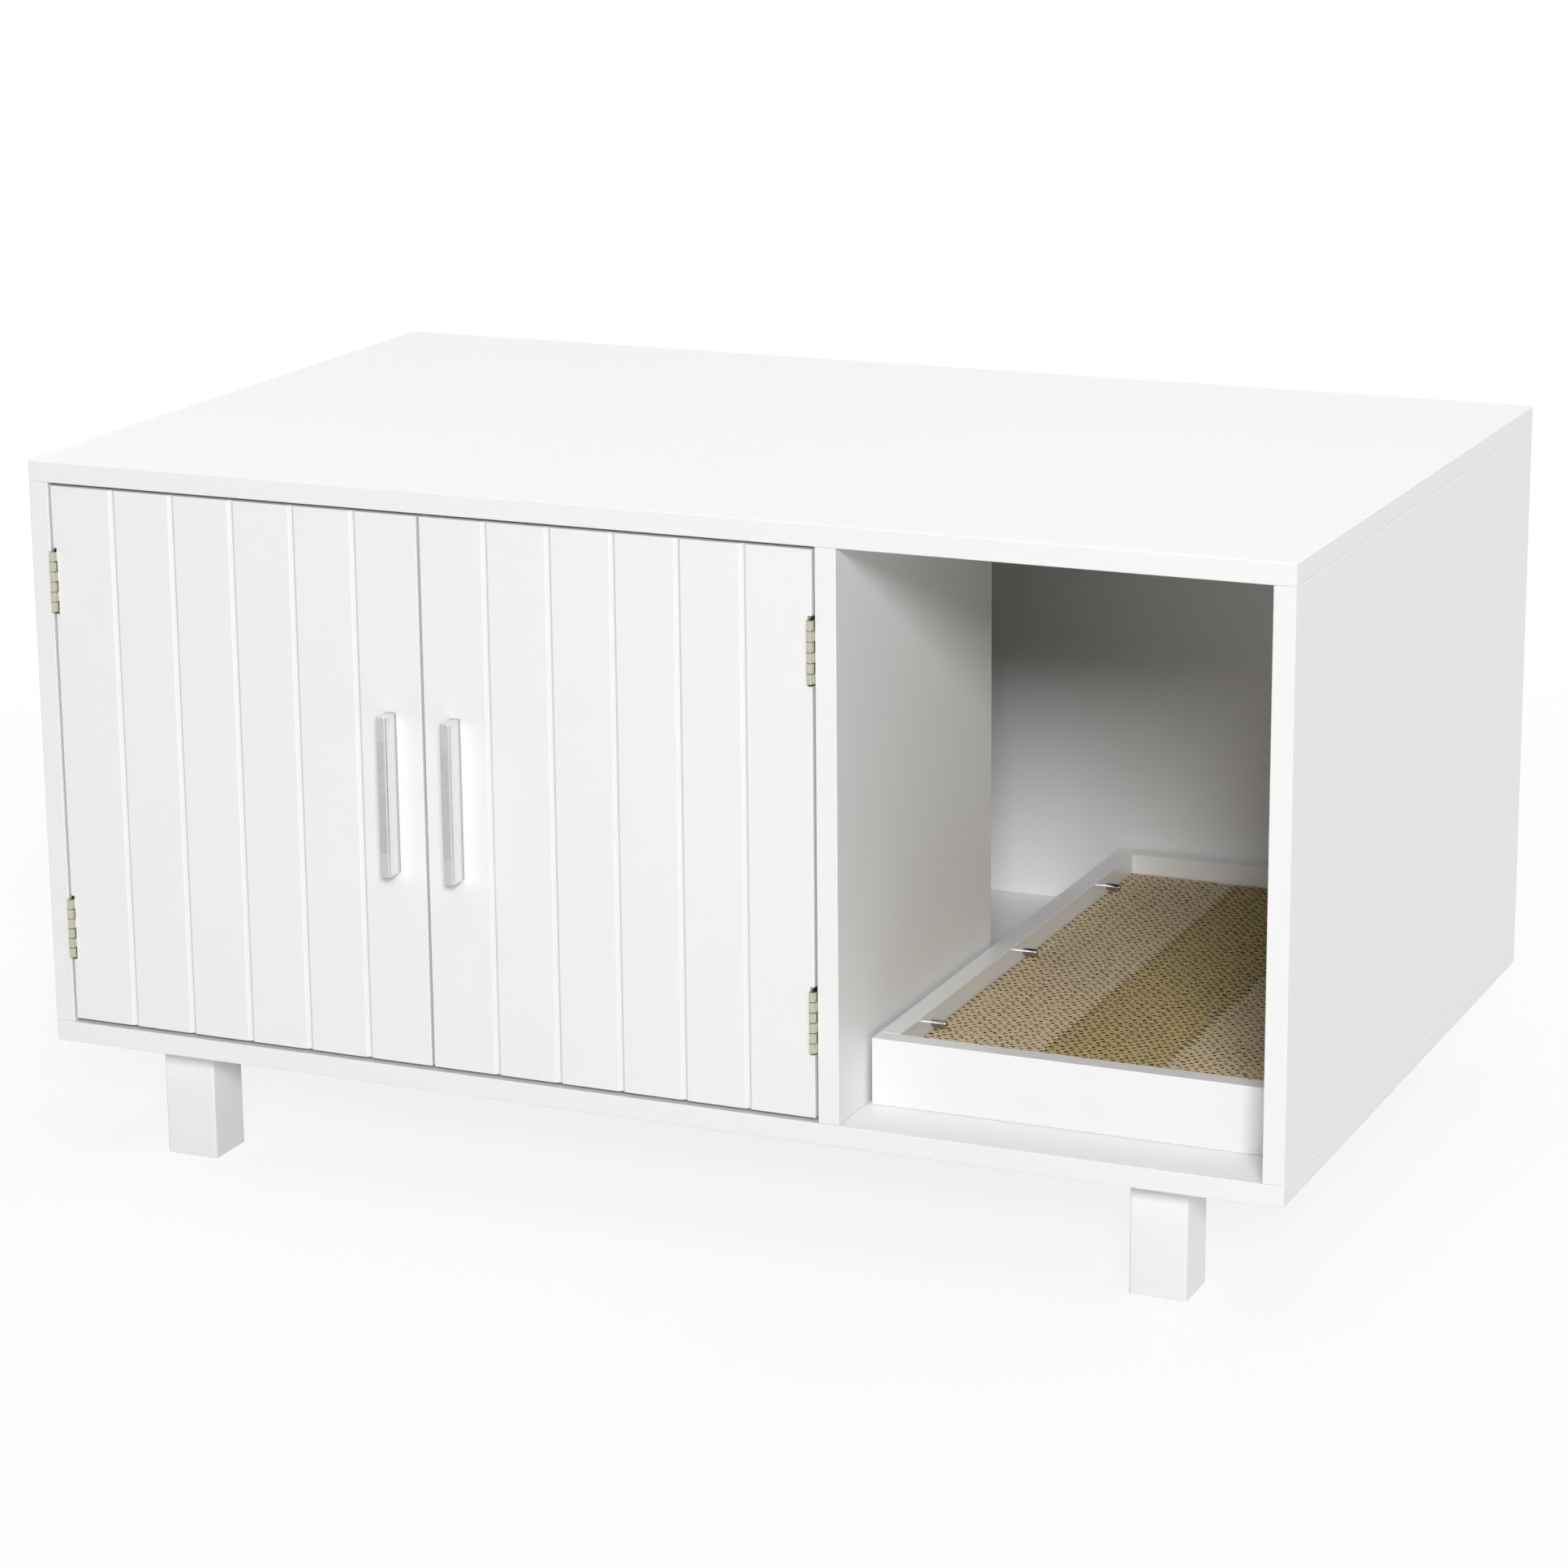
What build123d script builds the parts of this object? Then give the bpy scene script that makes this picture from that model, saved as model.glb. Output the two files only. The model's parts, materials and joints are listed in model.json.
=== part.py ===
from build123d import *
from collections import namedtuple
import os

# Low white cabinet that hides a litter pan: two grooved doors, an open cubby and a scratching tray.
# Millimetres, +Z up. X runs along the front, Y runs from the front to the back.
# The origin lies on the floor, under the middle of the whole box, door handles included.

# Carcass boards
board = 15.0
edge_round = 0.8
body_width = 920.0
body_depth = 570.0
body_height = 424.0
litter_opening_width = 580.0
divider_depth = 282.0

# Legs and their fastening
leg_side = 40.0
leg_height = 84.0
leg_edge_round = 1.5
leg_end_inset = 73.0
leg_face_inset = 25.0
leg_bolt_diameter = 8.0
leg_bolt_in_leg = 45.0
leg_insert_diameter = 12.0
leg_insert_length = 11.0

# Fits of drilled holes
fit_clearance = 0.05
hole_end_room = 0.5

# Cam locks and dowels of the carcass
cam_diameter = 15.0
cam_wall = 3.0
cam_setback = 24.0
cam_slot_width = 1.6
cam_slot_length = 9.0
cam_slot_depth = 2.0
cam_bolt_thread_diameter = 5.5
cam_bolt_thread_length = 11.0
cam_bolt_shank_diameter = 5.0
cam_bolt_head_diameter = 6.4
cam_bolt_head_length = 4.0
cam_bolt_head_clearance = 0.8
cam_end_inset = 70.0
dowel_diameter = 8.0
dowel_in_face = 10.0
dowel_in_edge = 20.0
dowel_end_inset = 36.0

# Doors
door_gap = 2.0
door_bottom_gap = 3.5
groove_count = 5
groove_pitch = 47.25
groove_width = 5.0
groove_depth = 2.2

# Butt hinges
knuckle_diameter = 5.0
knuckle_count = 6
knuckle_spacing = 0.5
hinge_length = 42.5
hinge_end_inset = 46.5
hinge_axis_proud = 1.8
hinge_notch_margin = 2.5
hinge_pin_diameter = 2.4
leaf_thickness = 1.1
leaf_rear_margin = 3.0
leaf_screw_spacing = 26.0
leaf_screw_shank_diameter = 2.8
leaf_screw_head_diameter = 5.2
leaf_screw_reach = 11.0

# Bar handles
handle_hole_spacing = 96.0
handle_width = 8.0
handle_projection = 16.0
handle_bracket_length = 17.0
handle_edge_inset = 23.5
handle_face_round = 1.8
handle_edge_round = 0.7
handle_spigot_diameter = 4.0
handle_spigot_length = 4.5
handle_screw_diameter = 4.0
handle_screw_in_bracket = 9.0
handle_screw_head_diameter = 7.6
handle_screw_head_height = 2.4
handle_screw_clearance = 0.3

# Double magnetic catch behind the meeting edges of the doors
catch_height = 16.0
catch_depth = 15.0
catch_gap = 0.3
catch_screw_end_inset = 5.0
catch_screw_to_magnet = 5.5
catch_screw_diameter = 3.0
catch_screw_head_diameter = 6.0
catch_screw_head_height = 2.2
catch_screw_counterbore = 7.0
catch_screw_reach = 9.0
magnet_width = 15.0
magnet_height = 10.0
magnet_depth = 5.0
magnet_spacing = 24.0
strike_width = 17.0
strike_height = 11.0
strike_thickness = 1.5
strike_screw_shank_diameter = 2.8
strike_screw_head_diameter = 5.2
strike_screw_reach = 9.0

# Scratching tray
tray_side_gap = 3.0
tray_front_setback = 50.0
tray_rear_gap = 3.0
tray_rail_height = 47.0
tray_base_thickness = 3.0
tray_base_lift = 4.0
tray_groove_depth = 6.0
tray_groove_clearance = 0.2
tray_dowel_diameter = 6.0
tray_dowel_in_rail = 10.0
tray_dowel_in_end = 14.0
tray_dowel_wall = 2.0
pad_count = 3
pad_drop_under_pegs = 2.5
pad_gap = 0.5
peg_diameter = 5.0
peg_count = 3
peg_pitch = 178.0
peg_reach = 10.7
peg_in_rail = 9.0
peg_drop = 9.5
peg_end_round = 0.6

# Planes of the carcass
left_x = -body_width / 2
right_x = body_width / 2
left_inner_x = left_x + board
right_inner_x = right_x - board
divider_left_x = left_inner_x + litter_opening_width
divider_right_x = divider_left_x + board
front_y = (handle_projection - body_depth) / 2
rear_y = front_y + body_depth
back_inner_y = rear_y - board
under_z = leg_height
floor_z = under_z + board
top_z = under_z + body_height
ceiling_z = top_z - board

# Planes of the doors
door_width = (litter_opening_width - 3 * door_gap) / 2
door_bottom_z = floor_z + door_bottom_gap
door_top_z = ceiling_z - door_gap
door_height = door_top_z - door_bottom_z
door_mid_z = (door_bottom_z + door_top_z) / 2
door_back_y = front_y + board
left_door_x = left_inner_x + door_gap
right_door_x = left_door_x + door_width + door_gap
doors_meet_x = right_door_x - door_gap / 2

# Directions
along_x = Vector(1, 0, 0)
along_y = Vector(0, 1, 0)
upward = Vector(0, 0, 1)
from_start = (Align.CENTER, Align.CENTER, Align.MIN)

pieces = {}


def block(x_span, y_span, z_span, mode=Mode.ADD):
    # Box between two limits on each axis, in either order.
    spans = (x_span, y_span, z_span)
    centre = tuple((span[0] + span[1]) / 2 for span in spans)
    size = tuple(abs(span[1] - span[0]) for span in spans)
    with Locations(centre):
        Box(*size, mode=mode)


def place(point, direction):
    # Plane through a point that faces along a direction.
    return Plane(origin=point, z_dir=direction)


def rods(places, radius, length, mode=Mode.ADD):
    # Cylinders that start on the places and run the way that these face.
    with Locations(*places):
        Cylinder(radius, length, align=from_start, mode=mode)


def tapers(places, start_radius, end_radius, length, mode=Mode.ADD):
    # Cones that start on the places and run the way that these face.
    with Locations(*places):
        Cone(start_radius, end_radius, length, align=from_start, mode=mode)


def drill(places, radius, depth=None):
    # Holes that start on the places and run into the piece behind them, right through with no depth.
    if places:
        with Locations(*places):
            Hole(radius, depth)


# Where the carcass boards are joined. A cam sits in one board's face and pulls on a bolt in the other board.
CamJoint = namedtuple("CamJoint", "holder mate seat inward cam_side")
DowelJoint = namedtuple("DowelJoint", "holder mate seat inward")
cam_joints = []
dowel_joints = []

left_mid_x = left_x + board / 2
divider_mid_x = divider_left_x + board / 2
right_mid_x = right_x - board / 2
back_mid_y = rear_y - board / 2
cam_depth = board - cam_wall

flat_boards = [("bottom_panel", floor_z, upward), ("top_panel", ceiling_z, -upward)]
upright_boards = [
    ("left_side_panel", left_mid_x, body_depth, along_x),
    ("divider_panel", divider_mid_x, divider_depth, -along_x),
    ("right_side_panel", right_mid_x, body_depth, -along_x),
]
for holder, x, depth, cam_side in upright_boards:
    for mate, z, inward in flat_boards:
        for y in (front_y + cam_end_inset, front_y + depth - cam_end_inset):
            cam_joints.append(CamJoint(holder, mate, Vector(x, y, z), inward, cam_side))
        for y in (front_y + dowel_end_inset, front_y + depth - dowel_end_inset):
            dowel_joints.append(DowelJoint(holder, mate, Vector(x, y, z), inward))

# The back panel is pulled against the sides, the top and the bottom by cams in its rear face.
side_boards = [("left_side_panel", left_inner_x, along_x), ("right_side_panel", right_inner_x, -along_x)]
for mate, x, inward in side_boards:
    for z in (floor_z + cam_end_inset, ceiling_z - cam_end_inset):
        cam_joints.append(CamJoint("back_panel", mate, Vector(x, back_mid_y, z), inward, along_y))
for mate, z, inward in flat_boards:
    for x in (left_inner_x + cam_end_inset, right_inner_x - cam_end_inset):
        cam_joints.append(CamJoint("back_panel", mate, Vector(x, back_mid_y, z), inward, along_y))
    for x in (left_inner_x + dowel_end_inset, right_inner_x - dowel_end_inset):
        dowel_joints.append(DowelJoint("back_panel", mate, Vector(x, back_mid_y, z), inward))


def cam_mouth(joint):
    # Middle of the cam on the face that it is let into.
    return joint.seat + joint.inward * cam_setback + joint.cam_side * (board / 2)


def drill_joints(name):
    # Bores for the cams, cam bolts and dowels of one board.
    held_cams = [joint for joint in cam_joints if joint.holder == name]
    met_cams = [joint for joint in cam_joints if joint.mate == name]
    held_dowels = [joint for joint in dowel_joints if joint.holder == name]
    met_dowels = [joint for joint in dowel_joints if joint.mate == name]
    cam_places = [place(cam_mouth(joint), joint.cam_side) for joint in held_cams]
    drill(cam_places, cam_diameter / 2 + fit_clearance, cam_depth)
    bolt_places = [place(joint.seat, -joint.inward) for joint in held_cams]
    drill(bolt_places, cam_bolt_head_diameter / 2 + cam_bolt_head_clearance, cam_setback)
    thread_places = [place(joint.seat, joint.inward) for joint in met_cams]
    thread_radius = cam_bolt_thread_diameter / 2 + fit_clearance
    drill(thread_places, thread_radius, cam_bolt_thread_length + hole_end_room)
    dowel_radius = dowel_diameter / 2 + fit_clearance
    edge_places = [place(joint.seat, -joint.inward) for joint in held_dowels]
    drill(edge_places, dowel_radius, dowel_in_edge + hole_end_room)
    face_places = [place(joint.seat, joint.inward) for joint in met_dowels]
    drill(face_places, dowel_radius, dowel_in_face + hole_end_room)


# Hinges. The left door hangs on the left side panel, the right door on the divider.
Hinge = namedtuple("Hinge", "name door frame_board axis_x frame_side bottom_z")
hinge_y = front_y - hinge_axis_proud
knuckle_radius = knuckle_diameter / 2
knuckle_pitch = (hinge_length + knuckle_spacing) / knuckle_count
knuckle_length = knuckle_pitch - knuckle_spacing
leaf_front_y = hinge_y + knuckle_radius + knuckle_spacing
leaf_rear_y = door_back_y - leaf_rear_margin
leaf_screw_y = (leaf_front_y + leaf_rear_y) / 2
left_axis_x = left_inner_x + knuckle_radius
right_axis_x = divider_left_x - knuckle_radius
upper_hinge_z = door_top_z - hinge_end_inset - hinge_length
lower_hinge_z = door_bottom_z + hinge_end_inset
hinges = [
    Hinge("left_upper", "left", "left_side_panel", left_axis_x, -1, upper_hinge_z),
    Hinge("left_lower", "left", "left_side_panel", left_axis_x, -1, lower_hinge_z),
    Hinge("right_upper", "right", "divider_panel", right_axis_x, 1, upper_hinge_z),
    Hinge("right_lower", "right", "divider_panel", right_axis_x, 1, lower_hinge_z),
]


def leaf_seat_x(hinge, side):
    # Plane where a leaf lies against its board.
    return hinge.axis_x + side * knuckle_radius


def leaf_screw_places(hinge, side, direction):
    # Screw centres on that plane.
    middle_z = hinge.bottom_z + hinge_length / 2
    heights = (middle_z - leaf_screw_spacing / 2, middle_z + leaf_screw_spacing / 2)
    return [place((leaf_seat_x(hinge, side), leaf_screw_y, z), direction) for z in heights]


def drill_leaf_screws(hinge, side):
    # Pilot holes in the board that carries a leaf.
    radius = leaf_screw_shank_diameter / 2 + fit_clearance
    drill(leaf_screw_places(hinge, side, along_x * -side), radius, leaf_screw_reach + hole_end_room)


# Legs
leg_x = body_width / 2 - leg_end_inset - leg_side / 2
leg_front_y = front_y + leg_face_inset + leg_side / 2
leg_rear_y = rear_y - leg_face_inset - leg_side / 2
leg_centres = {
    "leg_front_left": (-leg_x, leg_front_y),
    "leg_front_right": (leg_x, leg_front_y),
    "leg_rear_left": (-leg_x, leg_rear_y),
    "leg_rear_right": (leg_x, leg_rear_y),
}
leg_tops = [Vector(x, y, under_z) for x, y in leg_centres.values()]
for name, (x, y) in leg_centres.items():
    with BuildPart() as leg:
        block((x - leg_side / 2, x + leg_side / 2), (y - leg_side / 2, y + leg_side / 2), (0, under_z))
        fillet(leg.edges().filter_by(Axis.Z), leg_edge_round)
        radius = leg_bolt_diameter / 2 + fit_clearance
        drill([place((x, y, under_z), upward)], radius, leg_bolt_in_leg + hole_end_room)
    pieces[name] = leg

with BuildPart() as leg_insert_nuts:
    rods([place(top, upward) for top in leg_tops], leg_insert_diameter / 2, leg_insert_length)
    drill([place(top, -upward) for top in leg_tops], leg_bolt_diameter / 2 + fit_clearance, leg_insert_length)
pieces["leg_insert_nuts"] = leg_insert_nuts

with BuildPart() as leg_hanger_bolts:
    bolt_ends = [place(top - upward * leg_bolt_in_leg, upward) for top in leg_tops]
    rods(bolt_ends, leg_bolt_diameter / 2, leg_bolt_in_leg + leg_insert_length)
pieces["leg_hanger_bolts"] = leg_hanger_bolts

# Double magnetic catch under the top panel
catch_front_y = door_back_y + strike_thickness + catch_gap
catch_mid_y = catch_front_y + catch_depth / 2
catch_bottom_z = ceiling_z - catch_height
catch_mid_z = ceiling_z - catch_height / 2
magnet_xs = [doors_meet_x - magnet_spacing / 2, doors_meet_x + magnet_spacing / 2]
catch_screw_offset = (magnet_spacing + magnet_width) / 2 + catch_screw_to_magnet
catch_screw_xs = [doors_meet_x - catch_screw_offset, doors_meet_x + catch_screw_offset]
magnet_y = (catch_front_y, catch_front_y + magnet_depth)

with BuildPart() as catch_housing:
    catch_x = (catch_screw_xs[0] - catch_screw_end_inset, catch_screw_xs[1] + catch_screw_end_inset)
    block(catch_x, (catch_front_y, catch_front_y + catch_depth), (catch_bottom_z, ceiling_z))
    fillet(catch_housing.edges().filter_by(Axis.Z), edge_round)
    for x in magnet_xs:
        half_width = magnet_width / 2 + fit_clearance
        half_height = magnet_height / 2 + fit_clearance
        pocket_z = (catch_mid_z - half_height, catch_mid_z + half_height)
        block((x - half_width, x + half_width), magnet_y, pocket_z, Mode.SUBTRACT)
    with Locations(*[place((x, catch_mid_y, catch_bottom_z), -upward) for x in catch_screw_xs]):
        hole_radius = catch_screw_diameter / 2 + fit_clearance
        bore_radius = catch_screw_head_diameter / 2 + fit_clearance
        CounterBoreHole(hole_radius, bore_radius, catch_screw_counterbore)
pieces["catch_housing"] = catch_housing

with BuildPart() as catch_magnets:
    for x in magnet_xs:
        magnet_z = (catch_mid_z - magnet_height / 2, catch_mid_z + magnet_height / 2)
        block((x - magnet_width / 2, x + magnet_width / 2), magnet_y, magnet_z)
pieces["catch_magnets"] = catch_magnets

with BuildPart() as catch_screws:
    seat_z = catch_bottom_z + catch_screw_counterbore
    seats = [(x, catch_mid_y, seat_z) for x in catch_screw_xs]
    shank_length = ceiling_z - seat_z + catch_screw_reach
    rods([place(seat, -upward) for seat in seats], catch_screw_head_diameter / 2, catch_screw_head_height)
    rods([place(seat, upward) for seat in seats], catch_screw_diameter / 2, shank_length)
pieces["catch_screws"] = catch_screws


# Carcass
def add_panel(name, x_span, y_span, z_span):
    # Board with rounded edges and the bores for all that it carries.
    with BuildPart() as panel:
        block(x_span, y_span, z_span)
        fillet(panel.edges(), edge_round)
        drill_joints(name)
        for hinge in hinges:
            if hinge.frame_board == name:
                drill_leaf_screws(hinge, hinge.frame_side)
        if name == "bottom_panel":
            insert_radius = leg_insert_diameter / 2 + fit_clearance
            insert_places = [place(top, -upward) for top in leg_tops]
            drill(insert_places, insert_radius, leg_insert_length + hole_end_room)
        if name == "top_panel":
            screw_radius = catch_screw_diameter / 2 + fit_clearance
            screw_places = [place((x, catch_mid_y, ceiling_z), -upward) for x in catch_screw_xs]
            drill(screw_places, screw_radius, catch_screw_reach + hole_end_room)
    pieces[name] = panel


whole_x = (left_x, right_x)
whole_y = (front_y, rear_y)
inside_z = (floor_z, ceiling_z)
add_panel("top_panel", whole_x, whole_y, (ceiling_z, top_z))
add_panel("bottom_panel", whole_x, whole_y, (under_z, floor_z))
add_panel("left_side_panel", (left_x, left_inner_x), whole_y, inside_z)
add_panel("right_side_panel", (right_inner_x, right_x), whole_y, inside_z)
add_panel("divider_panel", (divider_left_x, divider_right_x), (front_y, front_y + divider_depth), inside_z)
add_panel("back_panel", (left_inner_x, right_inner_x), (back_inner_y, rear_y), inside_z)

# Cam locks and dowels
with BuildPart() as cam_discs:
    cam_faces = [place(cam_mouth(joint), -joint.cam_side) for joint in cam_joints]
    rods(cam_faces, cam_diameter / 2, cam_depth)
    channel_radius = cam_bolt_head_diameter / 2 + fit_clearance
    channel_length = cam_setback + cam_bolt_head_length + hole_end_room
    channels = [place(joint.seat, joint.inward) for joint in cam_joints]
    rods(channels, channel_radius, channel_length, Mode.SUBTRACT)
    with Locations(*cam_faces):
        Box(cam_slot_length, cam_slot_width, cam_slot_depth, align=from_start, mode=Mode.SUBTRACT)
        Box(cam_slot_width, cam_slot_length, cam_slot_depth, align=from_start, mode=Mode.SUBTRACT)
pieces["cam_discs"] = cam_discs

with BuildPart() as cam_bolts:
    threads = [place(joint.seat, -joint.inward) for joint in cam_joints]
    rods(threads, cam_bolt_thread_diameter / 2, cam_bolt_thread_length)
    shanks = [place(joint.seat, joint.inward) for joint in cam_joints]
    rods(shanks, cam_bolt_shank_diameter / 2, cam_setback)
    heads = [place(joint.seat + joint.inward * cam_setback, joint.inward) for joint in cam_joints]
    rods(heads, cam_bolt_head_diameter / 2, cam_bolt_head_length)
pieces["cam_bolts"] = cam_bolts

with BuildPart() as carcass_dowels:
    dowel_ends = [place(joint.seat - joint.inward * dowel_in_face, joint.inward) for joint in dowel_joints]
    rods(dowel_ends, dowel_diameter / 2, dowel_in_face + dowel_in_edge)
pieces["carcass_dowels"] = carcass_dowels

# Doors
handle_xs = {
    "left": left_door_x + door_width - handle_edge_inset,
    "right": right_door_x + handle_edge_inset,
}
strike_xs = {"left": magnet_xs[0], "right": magnet_xs[1]}
handle_screw_zs = [door_mid_z - handle_hole_spacing / 2, door_mid_z + handle_hole_spacing / 2]


def make_door(side, x):
    # Inset door with upright grooves in its face and a notch for each hinge in its edge.
    mid_x = x + door_width / 2
    groove_xs = [mid_x + (index - (groove_count - 1) / 2) * groove_pitch for index in range(groove_count)]
    lip = groove_width / 2
    with BuildPart() as door:
        with BuildSketch(Plane.XY.offset(door_bottom_z)) as section:
            with Locations((mid_x, front_y + board / 2)):
                Rectangle(door_width, board)
            with Locations(*[(groove_x, front_y) for groove_x in groove_xs]):
                Polygon((-lip, 0), (lip, 0), (0, groove_depth), align=None, mode=Mode.SUBTRACT)
            fillet(section.vertices(), edge_round)
        extrude(amount=door_height)
        for hinge in hinges:
            if hinge.door == side:
                seat_x = leaf_seat_x(hinge, -hinge.frame_side)
                notch_x = (seat_x, seat_x + hinge.frame_side * knuckle_diameter)
                notch_low_z = hinge.bottom_z - hinge_notch_margin
                notch_high_z = hinge.bottom_z + hinge_length + hinge_notch_margin
                block(notch_x, (hinge_y, door_back_y), (notch_low_z, notch_high_z), Mode.SUBTRACT)
                drill_leaf_screws(hinge, -hinge.frame_side)
        handle_places = [place((handle_xs[side], door_back_y, z), along_y) for z in handle_screw_zs]
        drill(handle_places, handle_screw_diameter / 2 + handle_screw_clearance)
        strike_places = [place((strike_xs[side], door_back_y, catch_mid_z), along_y)]
        strike_radius = strike_screw_shank_diameter / 2 + fit_clearance
        drill(strike_places, strike_radius, strike_screw_reach + hole_end_room)
    return door


pieces["left_door_panel"] = make_door("left", left_door_x)
pieces["right_door_panel"] = make_door("right", right_door_x)


# Hinge leaves, pins and screws
def make_leaf(hinge, side, first):
    # Leaf on one side of the axis, which holds every second knuckle from the first one.
    seat_x = leaf_seat_x(hinge, side)
    leaf_x = (seat_x, seat_x - side * leaf_thickness)
    high_z = hinge.bottom_z + hinge_length
    knuckle_zs = [hinge.bottom_z + index * knuckle_pitch for index in range(first, knuckle_count, 2)]
    with BuildPart() as leaf:
        block(leaf_x, (leaf_front_y, leaf_rear_y), (hinge.bottom_z, high_z))
        for low_z in knuckle_zs:
            block(leaf_x, (hinge_y, leaf_front_y), (low_z, low_z + knuckle_length))
        knuckle_places = [place((hinge.axis_x, hinge_y, low_z), upward) for low_z in knuckle_zs]
        rods(knuckle_places, knuckle_radius, knuckle_length)
        bore_places = [place((hinge.axis_x, hinge_y, high_z), upward)]
        drill(bore_places, hinge_pin_diameter / 2 + fit_clearance, hinge_length)
        screw_places = leaf_screw_places(hinge, side, along_x * -side)
        start_radius = leaf_screw_shank_diameter / 2 + fit_clearance
        end_radius = leaf_screw_head_diameter / 2 + fit_clearance
        tapers(screw_places, start_radius, end_radius, leaf_thickness, Mode.SUBTRACT)
    return leaf


def add_leaf_screws(hinge, side):
    # Countersunk screws whose heads end flush with the leaf.
    shank_radius = leaf_screw_shank_diameter / 2
    head_places = leaf_screw_places(hinge, side, along_x * -side)
    tapers(head_places, shank_radius, leaf_screw_head_diameter / 2, leaf_thickness)
    rods(leaf_screw_places(hinge, side, along_x * side), shank_radius, leaf_screw_reach)


for hinge in hinges:
    pieces[hinge.name + "_hinge_frame_leaf"] = make_leaf(hinge, hinge.frame_side, 0)
    pieces[hinge.name + "_hinge_door_leaf"] = make_leaf(hinge, -hinge.frame_side, 1)
    with BuildPart() as hinge_pin:
        pin_foot = place((hinge.axis_x, hinge_y, hinge.bottom_z), upward)
        rods([pin_foot], hinge_pin_diameter / 2, hinge_length)
    pieces[hinge.name + "_hinge_pin"] = hinge_pin

with BuildPart() as frame_hinge_screws:
    for hinge in hinges:
        add_leaf_screws(hinge, hinge.frame_side)
pieces["frame_hinge_screws"] = frame_hinge_screws

for side in ("left", "right"):
    with BuildPart() as door_hinge_screws:
        for hinge in hinges:
            if hinge.door == side:
                add_leaf_screws(hinge, -hinge.frame_side)
    pieces[side + "_door_hinge_screws"] = door_hinge_screws

# Handles. A bar is held between two brackets, and each bracket is screwed on from behind the door.
handle_front_y = front_y - handle_projection
handle_mid_y = (handle_front_y + front_y) / 2
bar_low_z = handle_screw_zs[0] + handle_bracket_length / 2
bar_high_z = handle_screw_zs[1] - handle_bracket_length / 2
for side, x in handle_xs.items():
    handle_x = (x - handle_width / 2, x + handle_width / 2)
    lower_end = place((x, handle_mid_y, bar_low_z), -upward)
    upper_end = place((x, handle_mid_y, bar_high_z), upward)
    with BuildPart() as handle_bar:
        block(handle_x, (handle_front_y, front_y), (bar_low_z, bar_high_z))
        fillet(handle_bar.edges().filter_by(Axis.Z).group_by(Axis.Y)[0], handle_face_round)
        rods([lower_end, upper_end], handle_spigot_diameter / 2, handle_spigot_length)
    pieces[side + "_handle_bar"] = handle_bar

    levels = [("lower", handle_screw_zs[0], lower_end, 0), ("upper", handle_screw_zs[1], upper_end, -1)]
    for level, z, bar_end, outer_end in levels:
        bracket_z = (z - handle_bracket_length / 2, z + handle_bracket_length / 2)
        with BuildPart() as handle_bracket:
            block(handle_x, (handle_front_y, front_y), bracket_z)
            fillet(handle_bracket.edges().filter_by(Axis.Z).group_by(Axis.Y)[0], handle_face_round)
            free_end = handle_bracket.faces().sort_by(Axis.Z)[outer_end]
            fillet(free_end.edges().sort_by(Axis.Y)[:-1], handle_edge_round)
            socket = place(bar_end.origin, -bar_end.z_dir)
            socket_radius = handle_spigot_diameter / 2 + fit_clearance
            drill([socket], socket_radius, handle_spigot_length + hole_end_room)
            screw_radius = handle_screw_diameter / 2 + fit_clearance
            drill([place((x, front_y, z), along_y)], screw_radius, handle_screw_in_bracket + hole_end_room)
        pieces[side + "_handle_" + level + "_bracket"] = handle_bracket

    with BuildPart() as handle_screws:
        heads = [place((x, door_back_y, z), along_y) for z in handle_screw_zs]
        rods(heads, handle_screw_head_diameter / 2, handle_screw_head_height)
        shanks = [place((x, door_back_y, z), -along_y) for z in handle_screw_zs]
        rods(shanks, handle_screw_diameter / 2, board + handle_screw_in_bracket)
    pieces[side + "_handle_screws"] = handle_screws

# Strike plates that meet the magnets
for side, x in strike_xs.items():
    seat = (x, door_back_y, catch_mid_z)
    shank_radius = strike_screw_shank_diameter / 2
    head_radius = strike_screw_head_diameter / 2
    with BuildPart() as strike_plate:
        strike_x = (x - strike_width / 2, x + strike_width / 2)
        strike_z = (catch_mid_z - strike_height / 2, catch_mid_z + strike_height / 2)
        block(strike_x, (door_back_y, door_back_y + strike_thickness), strike_z)
        fillet(strike_plate.edges().filter_by(Axis.Y), edge_round)
        start_radius = shank_radius + fit_clearance
        end_radius = head_radius + fit_clearance
        tapers([place(seat, along_y)], start_radius, end_radius, strike_thickness, Mode.SUBTRACT)
    pieces[side + "_strike_plate"] = strike_plate

    with BuildPart() as strike_screw:
        tapers([place(seat, along_y)], shank_radius, head_radius, strike_thickness)
        rods([place(seat, -along_y)], shank_radius, strike_screw_reach)
    pieces[side + "_strike_screw"] = strike_screw

# Scratching tray. It stands loose on the cubby floor and slides out to the front.
tray_left_x = divider_right_x + tray_side_gap
tray_right_x = right_inner_x - tray_side_gap
tray_front_y = front_y + tray_front_setback
tray_rear_y = back_inner_y - tray_rear_gap
tray_inner_x = (tray_left_x + board, tray_right_x - board)
tray_inner_y = (tray_front_y + board, tray_rear_y - board)
rail_z = (floor_z, floor_z + tray_rail_height)
base_z = (floor_z + tray_base_lift, floor_z + tray_base_lift + tray_base_thickness)
base_groove_x = (tray_inner_x[0] - tray_groove_depth, tray_inner_x[1] + tray_groove_depth)
base_groove_y = (tray_inner_y[0] - tray_groove_depth, tray_inner_y[1] + tray_groove_depth)
base_groove_z = (base_z[0], base_z[1] + tray_groove_clearance)
tray_dowel_xs = [tray_left_x + board / 2, tray_right_x - board / 2]
peg_mid_y = (tray_inner_y[0] + tray_inner_y[1]) / 2
peg_z = rail_z[1] - peg_drop
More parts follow.
